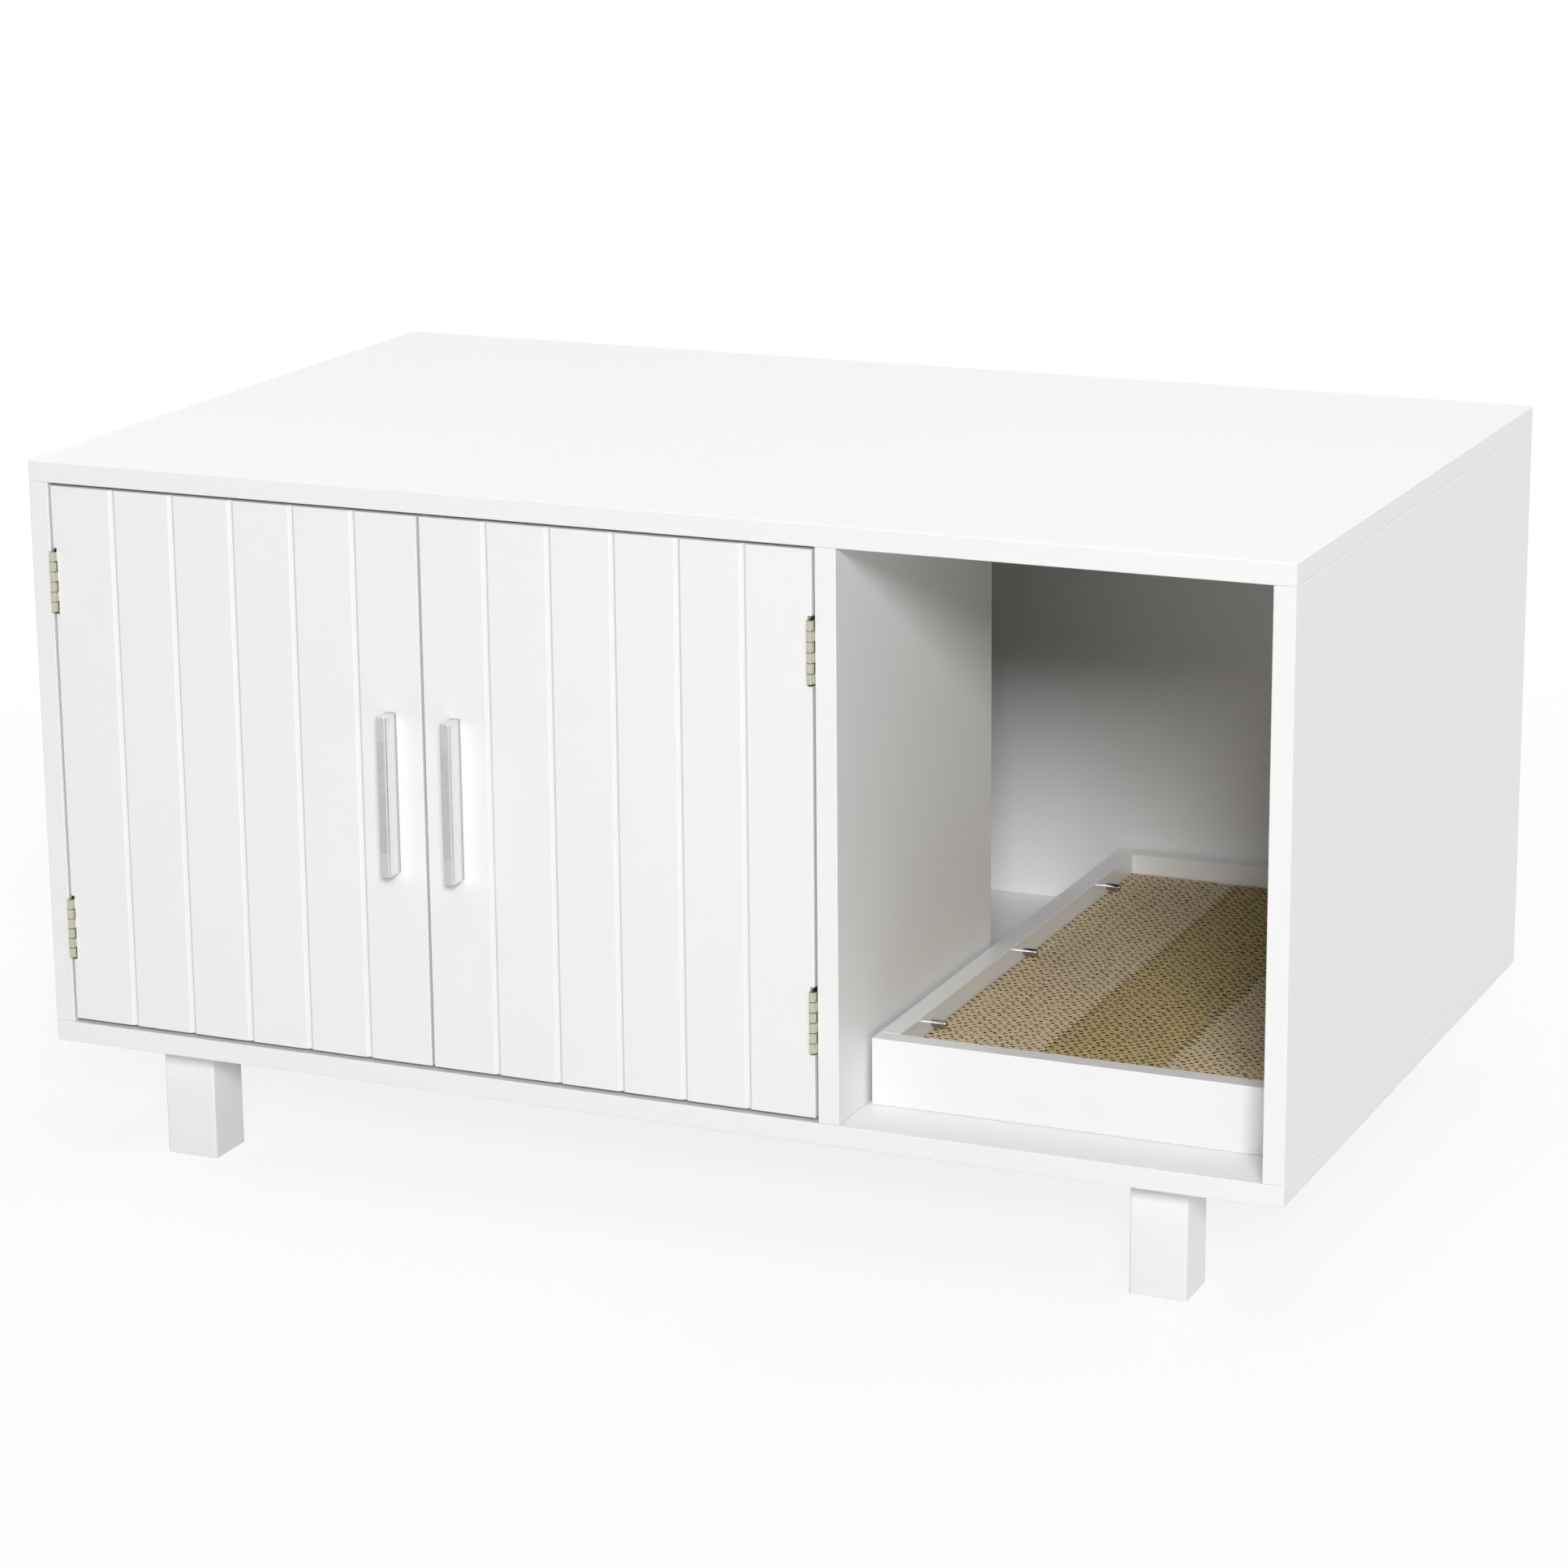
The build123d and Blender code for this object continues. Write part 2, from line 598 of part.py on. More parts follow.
peg_under_z = peg_z - peg_diameter / 2
peg_ys = [peg_mid_y + (index - (peg_count - 1) / 2) * peg_pitch for index in range(peg_count)]

# Each dowel starts in an end rail, at the joint with a side rail, and points into the side rail.
# The lower ones clear the groove of the base, and the upper ones clear the pegs.
tray_dowel_margin = tray_dowel_wall + tray_dowel_diameter / 2
tray_dowel_zs = [base_groove_z[1] + tray_dowel_margin, peg_under_z - tray_dowel_margin]
tray_dowel_seats = []
for x in tray_dowel_xs:
    for z in tray_dowel_zs:
        tray_dowel_seats.append(place((x, tray_inner_y[0], z), along_y))
        tray_dowel_seats.append(place((x, tray_inner_y[1], z), -along_y))


def make_end_rail(y_span):
    # Front or rear rail, across the whole width.
    with BuildPart() as rail:
        block((tray_left_x, tray_right_x), y_span, rail_z)
        fillet(rail.edges(), edge_round)
        block(base_groove_x, base_groove_y, base_groove_z, Mode.SUBTRACT)
        drill(tray_dowel_seats, tray_dowel_diameter / 2 + fit_clearance, tray_dowel_in_rail + hole_end_room)
    return rail


def make_side_rail(x_span, peg_places):
    # Left or right rail, between the end rails, with the holes for its pegs.
    with BuildPart() as rail:
        block(x_span, tray_inner_y, rail_z)
        fillet(rail.edges(), edge_round)
        block(base_groove_x, base_groove_y, base_groove_z, Mode.SUBTRACT)
        ends = [place(seat.origin, -seat.z_dir) for seat in tray_dowel_seats]
        drill(ends, tray_dowel_diameter / 2 + fit_clearance, tray_dowel_in_end + hole_end_room)
        drill(peg_places, peg_diameter / 2 + fit_clearance, peg_in_rail + hole_end_room)
    return rail


def make_pegs(peg_places, tip_side):
    # Steel pegs with rounded tips that stand out over the edge of the pads.
    with BuildPart() as pegs:
        roots = [place(seat.origin - seat.z_dir * peg_in_rail, seat.z_dir) for seat in peg_places]
        rods(roots, peg_diameter / 2, peg_in_rail + peg_reach)
        rims = pegs.edges().filter_by(GeomType.CIRCLE)
        fillet(rims.group_by(Axis.X)[tip_side], peg_end_round)
    return pegs


left_peg_places = [place((tray_inner_x[0], y, peg_z), along_x) for y in peg_ys]
right_peg_places = [place((tray_inner_x[1], y, peg_z), -along_x) for y in peg_ys]
pieces["tray_front_rail"] = make_end_rail((tray_front_y, tray_inner_y[0]))
pieces["tray_rear_rail"] = make_end_rail((tray_inner_y[1], tray_rear_y))
pieces["tray_left_rail"] = make_side_rail((tray_left_x, tray_inner_x[0]), left_peg_places)
pieces["tray_right_rail"] = make_side_rail((tray_inner_x[1], tray_right_x), right_peg_places)
pieces["tray_left_pegs"] = make_pegs(left_peg_places, -1)
pieces["tray_right_pegs"] = make_pegs(right_peg_places, 0)

with BuildPart() as tray_base:
    base_x = (base_groove_x[0] + tray_groove_clearance, base_groove_x[1] - tray_groove_clearance)
    base_y = (base_groove_y[0] + tray_groove_clearance, base_groove_y[1] - tray_groove_clearance)
    block(base_x, base_y, base_z)
pieces["tray_base"] = tray_base

with BuildPart() as tray_dowels:
    starts = [place(seat.origin - seat.z_dir * tray_dowel_in_rail, seat.z_dir) for seat in tray_dowel_seats]
    rods(starts, tray_dowel_diameter / 2, tray_dowel_in_rail + tray_dowel_in_end)
pieces["tray_dowels"] = tray_dowels

# Strips of corrugated board that fill the tray side by side
pads_left_x = tray_inner_x[0] + pad_gap
pad_width = (tray_inner_x[1] - pad_gap - pads_left_x) / pad_count
pad_y = (tray_inner_y[0] + pad_gap, tray_inner_y[1] - pad_gap)
pad_z = (base_z[1], peg_under_z - pad_drop_under_pegs)
for index in range(pad_count):
    pad_left_x = pads_left_x + index * pad_width
    with BuildPart() as pad:
        block((pad_left_x, pad_left_x + pad_width), pad_y, pad_z)
    pieces["scratch_pad_" + str(index + 1)] = pad

os.makedirs("parts", exist_ok=True)
for name, piece in pieces.items():
    piece.part.label = name
    export_step(piece.part, "parts/" + name + ".step")
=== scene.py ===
import json
import math
import random

import bpy
import numpy as np
from mathutils import Matrix, Vector

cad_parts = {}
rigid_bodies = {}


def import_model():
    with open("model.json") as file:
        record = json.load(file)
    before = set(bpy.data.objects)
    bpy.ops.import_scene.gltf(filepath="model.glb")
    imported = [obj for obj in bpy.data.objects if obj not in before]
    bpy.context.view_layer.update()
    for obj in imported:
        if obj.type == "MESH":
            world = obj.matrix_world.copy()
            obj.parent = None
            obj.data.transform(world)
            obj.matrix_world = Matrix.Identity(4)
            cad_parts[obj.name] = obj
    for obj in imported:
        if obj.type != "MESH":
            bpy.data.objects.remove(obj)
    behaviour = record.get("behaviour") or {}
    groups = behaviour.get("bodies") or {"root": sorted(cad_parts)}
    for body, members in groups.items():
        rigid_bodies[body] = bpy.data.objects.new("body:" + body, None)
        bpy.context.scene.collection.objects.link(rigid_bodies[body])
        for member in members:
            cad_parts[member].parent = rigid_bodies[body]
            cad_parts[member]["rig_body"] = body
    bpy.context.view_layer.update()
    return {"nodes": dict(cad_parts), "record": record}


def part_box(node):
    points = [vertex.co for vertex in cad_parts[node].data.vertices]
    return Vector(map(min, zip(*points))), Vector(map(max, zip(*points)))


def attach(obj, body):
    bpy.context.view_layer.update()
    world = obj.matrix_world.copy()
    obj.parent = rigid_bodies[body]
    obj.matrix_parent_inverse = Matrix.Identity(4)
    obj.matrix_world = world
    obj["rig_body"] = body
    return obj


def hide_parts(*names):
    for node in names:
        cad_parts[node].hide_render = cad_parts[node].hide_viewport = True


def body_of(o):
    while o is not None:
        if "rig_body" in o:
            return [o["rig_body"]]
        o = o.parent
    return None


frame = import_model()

cabinetNodes = frame["nodes"]
slotOfNode = {row["node"]: row["material_slot"] for row in frame["record"]["subparts"]}
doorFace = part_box("left_door_panel")[0].y
mm = 0.001
quarterTurn = math.pi / 2


# Camera at the photograph's viewing angle
cameraView = {
    "lens": 105.6,                        # mm on a 36 mm sensor
    "place": (1.2846, -2.9488, 1.1255),
    "aim": (-0.0092, 0.0, 0.2497),
    "rollDegrees": 0.524,
}


def makeCamera():
    scene = bpy.context.scene
    scene.view_settings.view_transform = "Standard"
    place = Vector(cameraView["place"])
    forward = (Vector(cameraView["aim"]) - place).normalized()
    level = forward.to_track_quat("-Z", "Y").to_matrix().to_4x4()
    roll = Matrix.Rotation(math.radians(cameraView["rollDegrees"]), 4, forward)
    data = bpy.data.cameras.new("productCamera")
    data.lens = cameraView["lens"]
    camera = bpy.data.objects.new("productCamera", data)
    camera.matrix_world = Matrix.Translation(place) @ roll @ level
    scene.collection.objects.link(camera)
    scene.camera = camera


makeCamera()
print("camera placed")


# Node helpers
def colour(red, green, blue):
    return (red, green, blue, 1.0)


def addNode(tree, kind, **settings):
    node = tree.nodes.new(kind)
    for name, value in settings.items():
        setattr(node, name, value)
    return node


def setInputs(node, **values):
    for name, value in values.items():
        node.inputs[name.replace("_", " ")].default_value = value
    return node


def feed(tree, value, socket):
    # A value that is either another node's output or a plain number or colour
    if isinstance(value, bpy.types.NodeSocket):
        tree.links.new(value, socket)
    else:
        socket.default_value = value


def mathNode(tree, operation, *values, clamp=False):
    node = addNode(tree, "ShaderNodeMath", operation=operation, use_clamp=clamp)
    for socket, value in zip(node.inputs, values):
        feed(tree, value, socket)
    return node.outputs[0]


def noiseNode(tree, vector, scale, detail, roughness):
    node = addNode(tree, "ShaderNodeTexNoise")
    for name, value in (("Vector", vector), ("Scale", scale), ("Detail", detail), ("Roughness", roughness)):
        feed(tree, value, node.inputs[name])
    return node.outputs["Fac"]


def spreadNode(tree, value, fromRange, toRange=(0.0, 1.0)):
    node = addNode(tree, "ShaderNodeMapRange", clamp=True)
    names = ("Value", "From Min", "From Max", "To Min", "To Max")
    for name, limit in zip(names, (value, *fromRange, *toRange)):
        feed(tree, limit, node.inputs[name])
    return node.outputs["Result"]


def mixColour(tree, share, first, second):
    node = addNode(tree, "ShaderNodeMix", data_type="RGBA")
    sockets = {socket.identifier: socket for socket in node.inputs}
    for name, value in (("Factor_Float", share), ("A_Color", first), ("B_Color", second)):
        feed(tree, value, sockets[name])
    return next(socket for socket in node.outputs if socket.identifier == "Result_Color")


def weighValues(tree, share, first, second):
    part = mathNode(tree, "MULTIPLY", first, share)
    return mathNode(tree, "MULTIPLY_ADD", second, 1.0 - share, part)


def scaleColour(tree, paint, factor):
    node = addNode(tree, "ShaderNodeVectorMath", operation="SCALE")
    feed(tree, paint, node.inputs[0])
    feed(tree, factor, node.inputs["Scale"])
    return node.outputs[0]


def stretchPlace(tree, place, stretch):
    node = addNode(tree, "ShaderNodeVectorMath", operation="MULTIPLY")
    tree.links.new(place, node.inputs[0])
    tree.links.new(stretch, node.inputs[1])
    return node.outputs[0]


def coordinates(tree, kind="Object"):
    return addNode(tree, "ShaderNodeTexCoord").outputs[kind]


def axisOf(tree, vector, axis):
    node = addNode(tree, "ShaderNodeSeparateXYZ")
    tree.links.new(vector, node.inputs[0])
    return node.outputs[axis]


def seenRays(tree):
    # Rays by which the camera sees a surface: straight, mirrored or through glass
    rays = addNode(tree, "ShaderNodeLightPath")
    seen = mathNode(tree, "MAXIMUM", rays.outputs["Is Camera Ray"], rays.outputs["Is Glossy Ray"])
    return mathNode(tree, "MAXIMUM", seen, rays.outputs["Is Transmission Ray"])


def newGroup(name, inputs, outputs):
    tree = bpy.data.node_groups.new(name, "ShaderNodeTree")
    for label, kind, value in inputs:
        socket = tree.interface.new_socket(label, in_out="INPUT", socket_type="NodeSocket" + kind)
        socket.default_value = value
    for label, kind in outputs:
        tree.interface.new_socket(label, in_out="OUTPUT", socket_type="NodeSocket" + kind)
    return tree, addNode(tree, "NodeGroupInput"), addNode(tree, "NodeGroupOutput")


# Tone and roughness that wander over a surface
noiseMiddle = 0.5


def toneShade(tree, given, tone, toneRange):
    least = mathNode(tree, "SUBTRACT", 1.0, given.outputs["Tone Spread"])
    return scaleColour(tree, given.outputs["Colour"], spreadNode(tree, tone, toneRange, (least, 1.0)))


def wanderRoughness(tree, given, base, noise):
    offset = mathNode(tree, "SUBTRACT", noise, noiseMiddle)
    offset = mathNode(tree, "MULTIPLY", offset, given.outputs["Roughness Spread"])
    return mathNode(tree, "ADD", base, offset, clamp=True)


# Effect: a patchy mask along the edges
edgeRubLook = {
    "bevelSamples": 4,
    "turnRange": (0.995, 0.86),           # cosine of the turn at an edge, from no rub to full rub
    "patch": {"detail": 4.0, "roughness": 0.65},
    "patchRange": (0.42, 0.68),
    "patchShare": (0.15, 1.0),
}


def makeEdgeRub():
    values = edgeRubLook
    tree, given, made = newGroup(
        "edgeRub",
        [("Width", "Float", 0.8 * mm), ("Patch Scale", "Float", 60.0), ("Amount", "Float", 0.5)],
        [("Mask", "Float")],
    )
    bevel = addNode(tree, "ShaderNodeBevel", samples=values["bevelSamples"])
    tree.links.new(given.outputs["Width"], bevel.inputs["Radius"])
    face = addNode(tree, "ShaderNodeNewGeometry")
    turn = addNode(tree, "ShaderNodeVectorMath", operation="DOT_PRODUCT")
    tree.links.new(bevel.outputs["Normal"], turn.inputs[0])
    tree.links.new(face.outputs["Normal"], turn.inputs[1])
    edge = spreadNode(tree, turn.outputs["Value"], values["turnRange"])
    patches = noiseNode(tree, coordinates(tree), given.outputs["Patch Scale"], **values["patch"])
    patchy = spreadNode(tree, patches, values["patchRange"], values["patchShare"])
    edgeWearAndShade = mathNode(tree, "MULTIPLY", edge, patchy)
    mask = mathNode(tree, "MULTIPLY", edgeWearAndShade, given.outputs["Amount"], clamp=True)
    tree.links.new(mask, made.inputs["Mask"])
    return tree


# Effect: sprayed lacquer with a faint orange peel
lacquerSkinLook = {
    "drift": {"scale": 2.6, "detail": 2.0, "roughness": 0.5},
    "cloud": {"scale": 38.0, "detail": 3.0, "roughness": 0.6},
    "driftShare": 0.65,
    "toneRange": (0.3, 0.7),
    "smear": {"scale": 11.0, "detail": 4.0, "roughness": 0.6},
    "peel": {"detail": 2.0, "roughness": 0.45},
    "edgeColour": colour(0.70, 0.69, 0.66),
    "edgeTone": 0.2,
    "edgeDull": 0.12,
}


def makeLacquerSkin():
    values = lacquerSkinLook
    tree, given, made = newGroup(
        "lacquerSkin",
        [
            ("Colour", "Color", colour(0.9, 0.9, 0.9)),
            ("Tone Spread", "Float", 0.012),
            ("Roughness", "Float", 0.4),
            ("Roughness Spread", "Float", 0.05),
            ("Peel Scale", "Float", 420.0),
            ("Edge", "Float", 0.0),
        ],
        [("Colour", "Color"), ("Roughness", "Float"), ("Height", "Float")],
    )
    place = coordinates(tree)
    drift = noiseNode(tree, place, **values["drift"])
    cloud = noiseNode(tree, place, **values["cloud"])
    tone = weighValues(tree, values["driftShare"], drift, cloud)
    paint = toneShade(tree, given, tone, values["toneRange"])
    edgeTone = mathNode(tree, "MULTIPLY", given.outputs["Edge"], values["edgeTone"])
    tree.links.new(mixColour(tree, edgeTone, paint, values["edgeColour"]), made.inputs["Colour"])
    smear = noiseNode(tree, place, **values["smear"])
    dulled = mathNode(tree, "MULTIPLY", given.outputs["Edge"], values["edgeDull"])
    rubbed = mathNode(tree, "ADD", dulled, given.outputs["Roughness"])
    tree.links.new(wanderRoughness(tree, given, rubbed, smear), made.inputs["Roughness"])
    peel = noiseNode(tree, place, given.outputs["Peel Scale"], **values["peel"])
    tree.links.new(peel, made.inputs["Height"])
    return tree


# Effect: metal with drawn grain
brushGrainLook = {
    "grain": {"detail": 3.0, "roughness": 0.6},
    "smear": {"scale": 90.0, "detail": 3.0, "roughness": 0.55},
    "grainShare": 0.7,
    "toneRange": (0.3, 0.7),
}


def makeBrushGrain():
    values = brushGrainLook
    tree, given, made = newGroup(
        "brushGrain",
        [
            ("Stretch", "Vector", (1.0, 1.0, 1.0)),
            ("Scale", "Float", 900.0),
            ("Roughness", "Float", 0.3),
            ("Roughness Spread", "Float", 0.12),
            ("Tone Spread", "Float", 0.1),
            ("Colour", "Color", colour(0.6, 0.6, 0.6)),
        ],
        [("Colour", "Color"), ("Roughness", "Float"), ("Height", "Float")],
    )
    place = coordinates(tree)
    drawn = stretchPlace(tree, place, given.outputs["Stretch"])
    grain = noiseNode(tree, drawn, given.outputs["Scale"], **values["grain"])
    smear = noiseNode(tree, place, **values["smear"])
    both = weighValues(tree, values["grainShare"], grain, smear)
    tree.links.new(toneShade(tree, given, both, values["toneRange"]), made.inputs["Colour"])
    rough = wanderRoughness(tree, given, given.outputs["Roughness"], both)
    tree.links.new(rough, made.inputs["Roughness"])
    tree.links.new(grain, made.inputs["Height"])
    return tree


# Effect: fibres of board and wood
fibreGrainLook = {
    "fibres": {"detail": 4.0, "roughness": 0.65},
    "blotch": {"scale": 45.0, "detail": 3.0, "roughness": 0.6},
    "fibreShare": 0.6,
    "toneRange": (0.32, 0.68),
}


def makeFibreGrain():
    values = fibreGrainLook
    tree, given, made = newGroup(
        "fibreGrain",
        [
            ("Stretch", "Vector", (1.0, 1.0, 1.0)),
            ("Scale", "Float", 500.0),
            ("Light", "Color", colour(0.4, 0.3, 0.2)),
            ("Dark", "Color", colour(0.3, 0.2, 0.1)),
        ],
        [("Colour", "Color"), ("Height", "Float")],
    )
    place = coordinates(tree)
    drawn = stretchPlace(tree, place, given.outputs["Stretch"])
    fibres = noiseNode(tree, drawn, given.outputs["Scale"], **values["fibres"])
    blotch = noiseNode(tree, place, **values["blotch"])
    both = weighValues(tree, values["fibreShare"], fibres, blotch)
    share = spreadNode(tree, both, values["toneRange"])
    paint = mixColour(tree, share, given.outputs["Dark"], given.outputs["Light"])
    tree.links.new(paint, made.inputs["Colour"])
    tree.links.new(fibres, made.inputs["Height"])
    return tree


edgeRub = makeEdgeRub()
lacquerSkin = makeLacquerSkin()
brushGrain = makeBrushGrain()
fibreGrain = makeFibreGrain()
print("shared effects built")


# Finish helpers
def newFinish(name):
    finish = bpy.data.materials.new(name)
    finish.use_nodes = True
    return finish, finish.node_tree, finish.node_tree.nodes["Principled BSDF"]


def placeGroup(tree, group, **values):
    return setInputs(addNode(tree, "ShaderNodeGroup", node_tree=group), **values)


def bumpFrom(tree, height, shader, depth):
    bump = setInputs(addNode(tree, "ShaderNodeBump"), Distance=depth, Strength=1.0)
    tree.links.new(height, bump.inputs["Height"])
    tree.links.new(bump.outputs["Normal"], shader.inputs["Normal"])


# Lacquered boards, with painted shade in the door grooves
whiteLacquer = colour(0.837, 0.837, 0.833)
lacquerFinishes = {
    "carcass_lacquer": {"colour": whiteLacquer, "roughness": 0.40, "peelDepth": 0.02 * mm, "coat": 0.0},
    "door_lacquer": {
        "colour": whiteLacquer, "roughness": 0.38, "peelDepth": 0.02 * mm, "coat": 0.0,
        "grooveShade": colour(0.45, 0.44, 0.42), "grooveShadeShare": 0.14,
        "grooveShadeStarts": (0.1 * mm, 1.6 * mm),      # depths behind the front face
        "grooveShadeEnds": (2.4 * mm, 2.8 * mm),
    },
    "leg_lacquer": {
        "colour": colour(0.865, 0.865, 0.858), "roughness": 0.42, "peelDepth": 0.02 * mm, "coat": 0.0,
    },
    "tray_lacquer": {
        "colour": colour(0.848, 0.848, 0.843), "roughness": 0.30, "peelDepth": 0.01 * mm, "coat": 0.6,
    },
    "tray_base_board": {
        "colour": colour(0.74, 0.73, 0.70), "roughness": 0.55, "peelDepth": 0.04 * mm, "coat": 0.0,
    },
    "catch_plastic": {
        "colour": colour(0.80, 0.80, 0.79), "roughness": 0.45, "peelDepth": 0.02 * mm, "coat": 0.0,
    },
}
lacquerLook = {
    "rub": {"Width": 0.9 * mm, "Patch_Scale": 70.0, "Amount": 0.5},
    "skin": {"Tone_Spread": 0.014, "Roughness_Spread": 0.08, "Peel_Scale": 420.0},
    "coatRoughness": 0.05,
}


# Painted shade in the doors' V-grooves: darker between two depths behind the front face
def shadeGrooves(tree, paint, values):
    depth = axisOf(tree, coordinates(tree), "Y")
    gathers = [doorFace + reach for reach in values["grooveShadeStarts"]]
    ends = [doorFace + reach for reach in values["grooveShadeEnds"]]
    shadeStart = spreadNode(tree, depth, gathers, (0.0, values["grooveShadeShare"]))
    groove = mathNode(tree, "MULTIPLY", shadeStart, spreadNode(tree, depth, ends, (1.0, 0.0)))
    return mixColour(tree, groove, paint, values["grooveShade"])


def makeLacquer(slot):
    values = lacquerFinishes[slot]
    finish, tree, shader = newFinish(slot)
    rub = placeGroup(tree, edgeRub, **lacquerLook["rub"])
    skin = placeGroup(
        tree, lacquerSkin, Colour=values["colour"], Roughness=values["roughness"], **lacquerLook["skin"],
    )
    tree.links.new(rub.outputs["Mask"], skin.inputs["Edge"])
    paint = skin.outputs["Colour"]
    if "grooveShade" in values:
        paint = shadeGrooves(tree, paint, values)
    tree.links.new(paint, shader.inputs["Base Color"])
    tree.links.new(skin.outputs["Roughness"], shader.inputs["Roughness"])
    setInputs(shader, Coat_Weight=values["coat"], Coat_Roughness=lacquerLook["coatRoughness"])
    bumpFrom(tree, skin.outputs["Height"], shader, values["peelDepth"])
    return finish


# Metal fittings
rubbedMetal = colour(0.78, 0.78, 0.76)
metalPatchScale = 160.0
metalFinishes = {
    "hinge_nickel": {
        "colour": colour(0.60, 0.585, 0.465), "roughness": 0.26, "roughnessSpread": 0.12, "tone": 0.10,
        "stretch": (1.0, 1.0, 0.12), "scale": 900.0, "depth": 0.004 * mm,
        # Near-black edge colour at full share: painted shade along and between the hinge knuckles
        "edge": colour(0.07, 0.065, 0.045), "edgeShare": 1.0, "edgeWidth": 0.55 * mm,
    },
    "peg_steel": {
        "colour": colour(0.46, 0.46, 0.455), "roughness": 0.05, "roughnessSpread": 0.05, "tone": 0.08,
        "stretch": (0.05, 1.0, 1.0), "scale": 900.0, "depth": 0.001 * mm,
        "edge": rubbedMetal, "edgeShare": 0.2, "edgeWidth": 0.4 * mm,
    },
    "cam_zinc": {
        "colour": colour(0.48, 0.48, 0.47), "roughness": 0.42, "roughnessSpread": 0.20, "tone": 0.25,
        "stretch": (1.0, 1.0, 1.0), "scale": 700.0, "depth": 0.02 * mm,
        "edge": rubbedMetal, "edgeShare": 0.3, "edgeWidth": 0.4 * mm,
    },
    "zinc_steel": {
        "colour": colour(0.56, 0.56, 0.55), "roughness": 0.28, "roughnessSpread": 0.15, "tone": 0.15,
        "stretch": (1.0, 1.0, 1.0), "scale": 800.0, "depth": 0.006 * mm,
        "edge": rubbedMetal, "edgeShare": 0.3, "edgeWidth": 0.4 * mm,
    },
}


def makeMetal(slot):
    values = metalFinishes[slot]
    finish, tree, shader = newFinish(slot)
    grain = placeGroup(
        tree, brushGrain, Stretch=values["stretch"], Scale=values["scale"], Colour=values["colour"],
        Roughness=values["roughness"], Roughness_Spread=values["roughnessSpread"], Tone_Spread=values["tone"],
    )
    rub = placeGroup(
        tree, edgeRub, Width=values["edgeWidth"], Patch_Scale=metalPatchScale, Amount=values["edgeShare"],
    )
    # Edges take the finish's edge colour: paler rubbed metal on most fittings, painted shade on the hinge
    edgeWearAndShade = mixColour(tree, rub.outputs["Mask"], grain.outputs["Colour"], values["edge"])
    tree.links.new(edgeWearAndShade, shader.inputs["Base Color"])
    tree.links.new(grain.outputs["Roughness"], shader.inputs["Roughness"])
    setInputs(shader, Metallic=1.0)
    bumpFrom(tree, grain.outputs["Height"], shader, values["depth"])
    return finish


# Board, wood and ferrite
fibreRoughness = 0.8
fibreFinishes = {
    "corrugated_board": {
        "light": colour(0.40, 0.315, 0.205), "dark": colour(0.30, 0.23, 0.14),
        "stretch": (1.0, 0.5, 0.25), "scale": 1400.0, "depth": 0.06 * mm,
    },
    "dowel_wood": {
        "light": colour(0.62, 0.44, 0.26), "dark": colour(0.48, 0.32, 0.17),
        "stretch": (0.2, 1.0, 1.0), "scale": 700.0, "depth": 0.05 * mm,
    },
    "magnet_ferrite": {
        "light": colour(0.05, 0.05, 0.052), "dark": colour(0.03, 0.03, 0.032),
        "stretch": (1.0, 1.0, 1.0), "scale": 900.0, "depth": 0.03 * mm,
    },
}


def makeFibre(slot):
    values = fibreFinishes[slot]
    finish, tree, shader = newFinish(slot)
    grain = placeGroup(
        tree, fibreGrain, Stretch=values["stretch"], Scale=values["scale"],
        Light=values["light"], Dark=values["dark"],
    )
    tree.links.new(grain.outputs["Colour"], shader.inputs["Base Color"])
    setInputs(shader, Roughness=fibreRoughness)
    bumpFrom(tree, grain.outputs["Height"], shader, values["depth"])
    return finish


# Raw board: every sheet differs a little, and the cut edge on top is paler than the paper's face; the paper's
# faces are painted very dark as painted shade inside the flutes
rawBoards = {
    "paleBoard": {
        "light": colour(0.13, 0.093, 0.046), "dark": colour(0.06, 0.042, 0.020),
        "cut": colour(0.67, 0.535, 0.352),
    },
    "shadedBoard": {
        # The middle strip's board: the same kraft, painted darker as painted shade
        "light": colour(0.08, 0.058, 0.023), "dark": colour(0.04, 0.028, 0.011),
        "cut": colour(0.54, 0.417, 0.204),
    },
}
rawBoardLook = {
    "grain": {"Stretch": (1.0, 0.5, 0.25), "Scale": 1400.0},
    "depth": 0.06 * mm,
    "sheetTones": (0.84, 1.08),
    "cutFacing": (0.35, 0.8),             # upward part of the face's direction
    "cutShare": 0.97,
    "roughness": 0.85,
    "sheen": 0.2,
}


def makeRawBoard(name):
    values = rawBoards[name]
    finish, tree, shader = newFinish(name)
    grain = placeGroup(
        tree, fibreGrain, Light=values["light"], Dark=values["dark"], **rawBoardLook["grain"],
    )
    face = addNode(tree, "ShaderNodeNewGeometry")
    sheetTone = spreadNode(tree, face.outputs["Random Per Island"], (0.0, 1.0), rawBoardLook["sheetTones"])
    paper = scaleColour(tree, grain.outputs["Colour"], sheetTone)
    upward = axisOf(tree, face.outputs["True Normal"], "Z")
    cut = spreadNode(tree, upward, rawBoardLook["cutFacing"], (0.0, rawBoardLook["cutShare"]))
    tree.links.new(mixColour(tree, cut, paper, values["cut"]), shader.inputs["Base Color"])
    setInputs(shader, Roughness=rawBoardLook["roughness"], Specular_IOR_Level=rawBoardLook["sheen"])
    bumpFrom(tree, grain.outputs["Height"], shader, rawBoardLook["depth"])
    return finish
